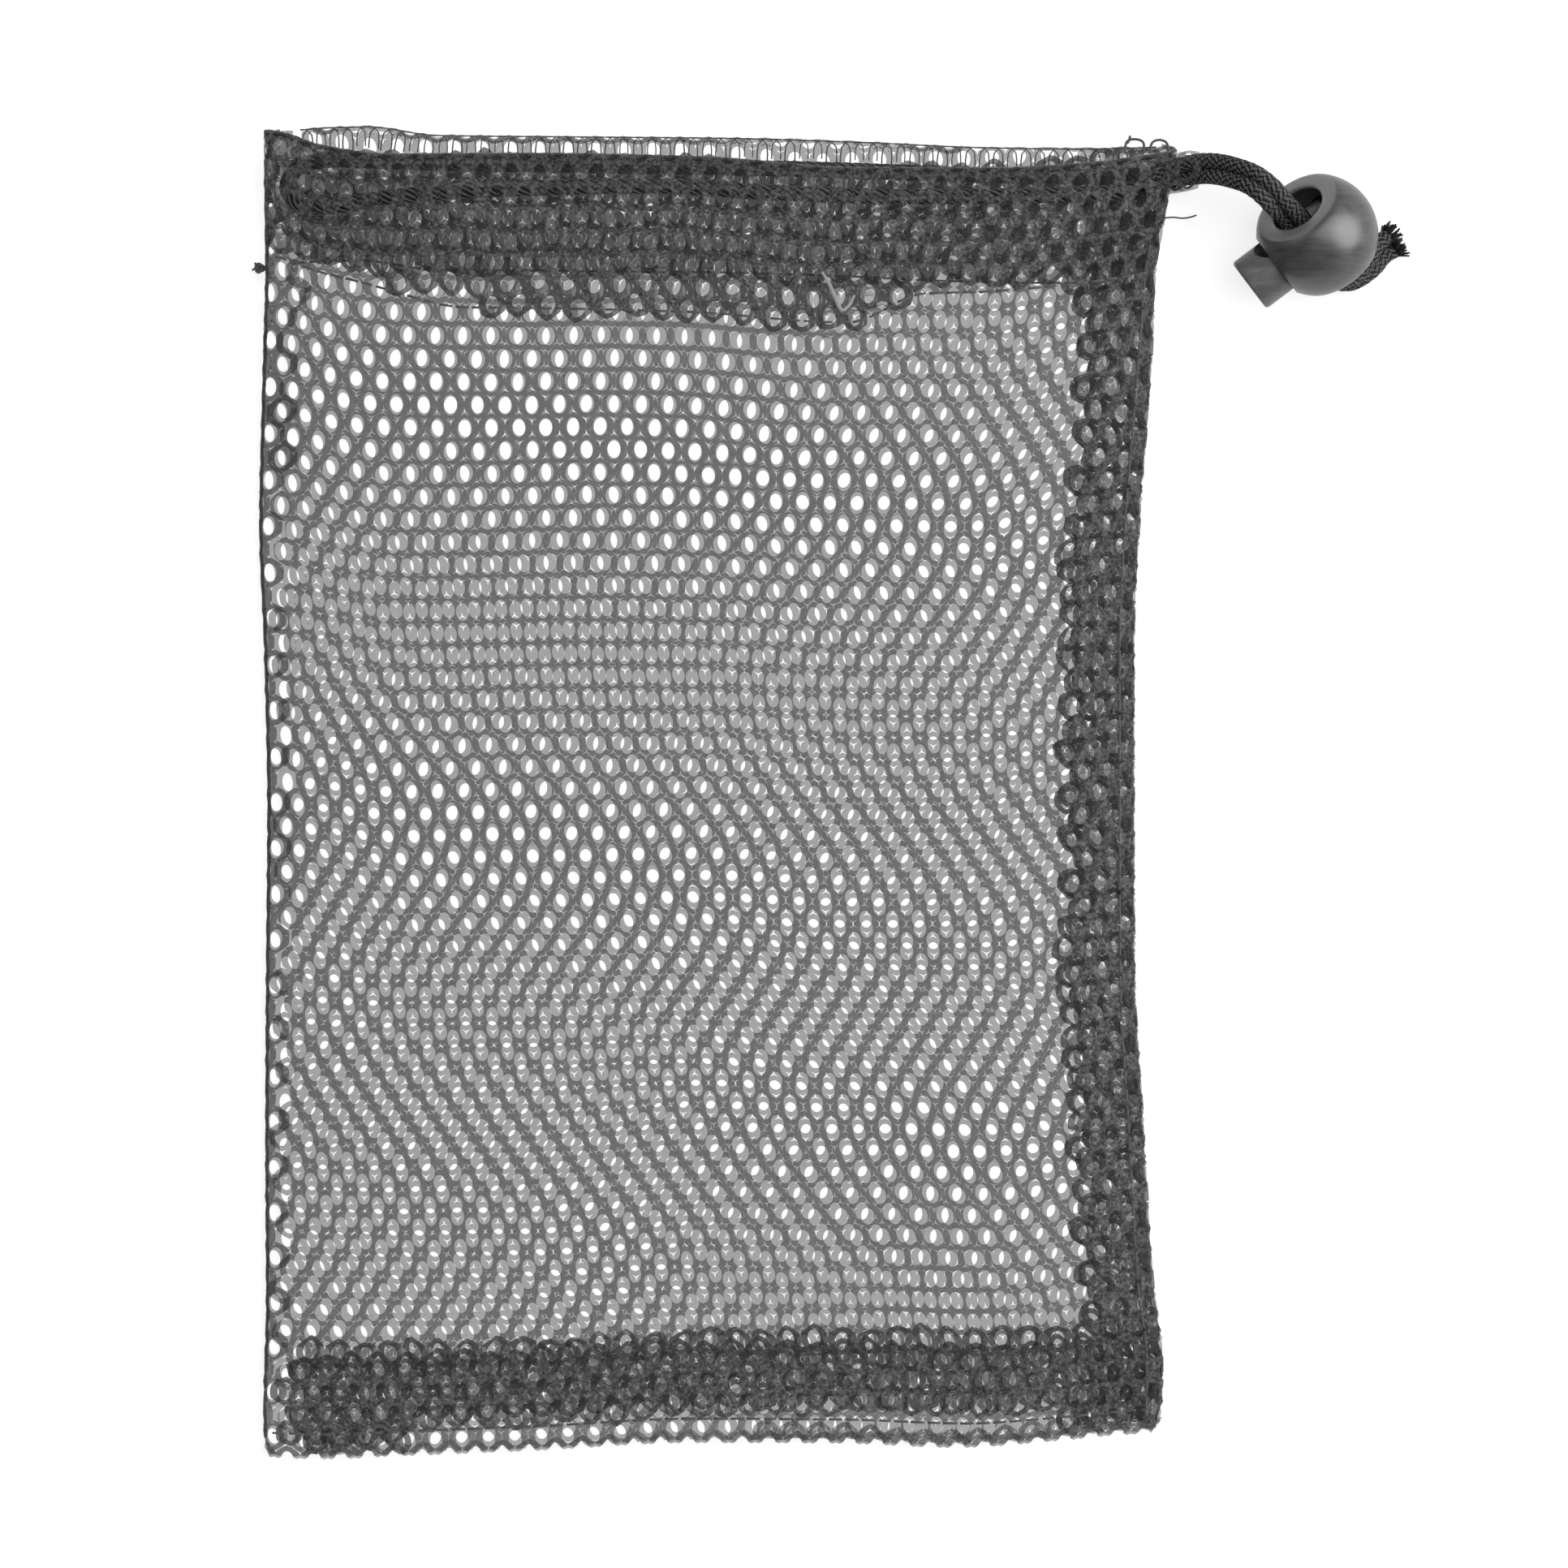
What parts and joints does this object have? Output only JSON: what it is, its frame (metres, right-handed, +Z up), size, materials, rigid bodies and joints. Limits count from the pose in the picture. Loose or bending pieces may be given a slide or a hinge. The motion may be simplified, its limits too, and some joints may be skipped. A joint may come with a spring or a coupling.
{
  "type": "mesh drawstring bag",
  "caption": "Small knitted mesh bag lying flat with its mouth open, with a hemmed drawstring channel and a ball cord lock with a spring plunger.",
  "frame": {"origin": "on the table under the middle of the bag, without the free cord ends and their lock", "axes": "+X across the bag towards the sewn side and the cord lock, +Y along the bag towards its mouth, +Z up off the table"},
  "size_m": [0.1702, 0.1972, 0.0185],
  "materials": {
    "net": "matt knitted nylon",
    "braid": "matt braided cord",
    "lock_plastic": "satin moulded"
  },
  "bodies": {
    "bag": {"mesh_body": "net", "hem_front": "net", "hem_back": "net", "bottom_seam_allowance": "net", "side_seam_allowance": "net", "drawstring_loop": "braid", "drawstring_tail_front": "braid", "drawstring_tail_back": "braid", "cord_lock_ball": "lock_plastic"},
    "plunger": {"cord_lock_plunger": "lock_plastic"}
  },
  "joints": [
    {"name": "plunger_press", "type": "slide", "parent": "bag", "child": "plunger", "axis": [0.7956, 0.5995, 0.0872], "range_m": [0, 0.0026], "stiffness_N_per_m": 20}
  ]
}
